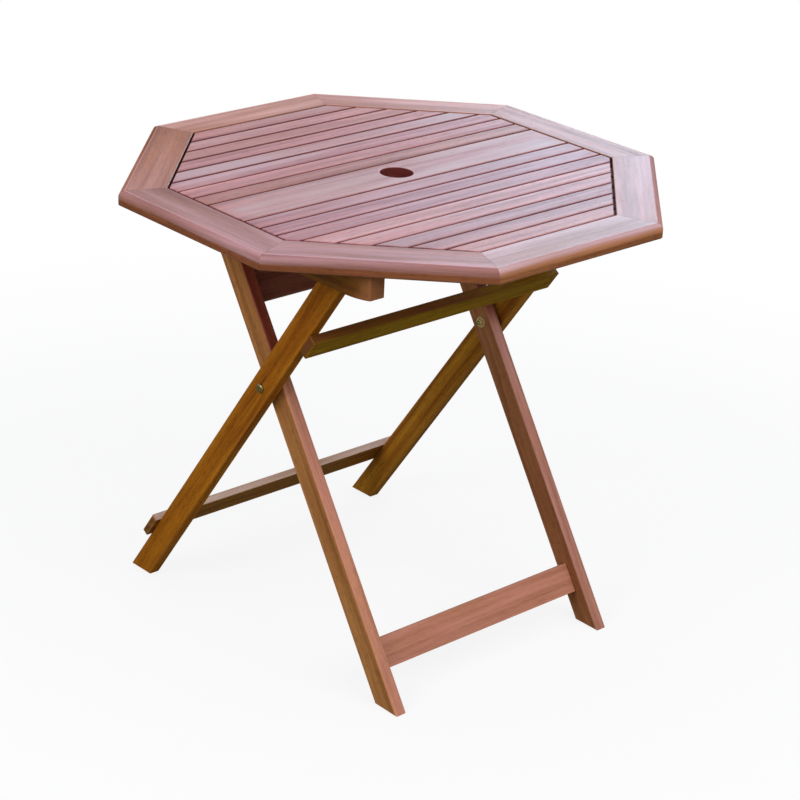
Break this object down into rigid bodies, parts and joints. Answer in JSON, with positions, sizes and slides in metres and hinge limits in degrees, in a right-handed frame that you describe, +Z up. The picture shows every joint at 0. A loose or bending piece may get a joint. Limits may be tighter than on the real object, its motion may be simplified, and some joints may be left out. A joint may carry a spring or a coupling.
{
  "type": "folding umbrella table",
  "caption": "Octagonal slatted wooden folding garden table with crossed leg frames and a centre hole for an umbrella pole.",
  "frame": {"origin": "on the floor, under the centre of the octagonal top and its umbrella hole", "axes": "+Z up; +X along the slats; -Y towards the side where the outer legs meet the top"},
  "size_m": [0.8, 0.8, 0.735],
  "materials": {
    "rim_wood": "oiled reddish hardwood, satin",
    "slat_wood": "oiled reddish hardwood, satin",
    "frame_wood": "oiled orange-brown hardwood, satin",
    "inner_frame_wood": "oiled reddish-brown hardwood, satin",
    "biscuit_wood": "bare beech",
    "plated_steel": "zinc-plated, slightly yellowed"
  },
  "bodies": {
    "outer_frame": {"outer_leg_left": "frame_wood", "outer_leg_right": "frame_wood", "upper_crossbar": "frame_wood", "lower_stretcher": "frame_wood", "cross_bolt_left": "plated_steel", "cross_bolt_right": "plated_steel", "cross_spacer_left": "plated_steel", "cross_spacer_right": "plated_steel"},
    "inner_frame": {"inner_leg_left": "inner_frame_wood", "inner_leg_right": "inner_frame_wood", "inner_top_rail": "inner_frame_wood", "inner_bottom_stretcher": "inner_frame_wood", "cross_washer_left": "plated_steel", "cross_washer_right": "plated_steel", "cross_nut_left": "plated_steel", "cross_nut_right": "plated_steel"},
    "tabletop": {"rim_right": "rim_wood", "rim_back_right": "rim_wood", "rim_back": "rim_wood", "rim_back_left": "rim_wood", "rim_left": "rim_wood", "rim_front_left": "rim_wood", "rim_front": "rim_wood", "rim_front_right": "rim_wood", "rim_biscuit_1": "biscuit_wood", "rim_biscuit_2": "biscuit_wood", "rim_biscuit_3": "biscuit_wood", "rim_biscuit_4": "biscuit_wood", "rim_biscuit_5": "biscuit_wood", "rim_biscuit_6": "biscuit_wood", "rim_biscuit_7": "biscuit_wood", "rim_biscuit_8": "biscuit_wood", "centre_slat": "slat_wood", "slat_front_1": "slat_wood", "slat_front_2": "slat_wood", "slat_front_3": "slat_wood", "slat_front_4": "slat_wood", "slat_front_5": "slat_wood", "slat_front_6": "slat_wood", "slat_front_7": "slat_wood", "slat_front_8": "slat_wood", "slat_back_1": "slat_wood", "slat_back_2": "slat_wood", "slat_back_3": "slat_wood", "slat_back_4": "slat_wood", "slat_back_5": "slat_wood", "slat_back_6": "slat_wood", "slat_back_7": "slat_wood", "slat_back_8": "slat_wood", "batten_left": "frame_wood", "batten_right": "frame_wood", "stop_rail": "frame_wood", "top_bolt_left": "plated_steel", "top_bolt_right": "plated_steel", "top_nut_left": "plated_steel", "top_nut_right": "plated_steel"}
  },
  "joints": [
    {"name": "top_tilt", "type": "hinge", "parent": "outer_frame", "child": "tabletop", "pos_m": [0, -0.171, 0.69], "axis": [1, 0, 0], "range_deg": [0, 90]},
    {"name": "leg_fold", "type": "hinge", "parent": "outer_frame", "child": "inner_frame", "pos_m": [0, 0.00579, 0.43796], "axis": [1, 0, 0], "range_deg": [0, 66]}
  ],
  "couplings": [
    {"joint": "leg_fold", "follows": "top_tilt", "ratio": 0.7333}
  ]
}
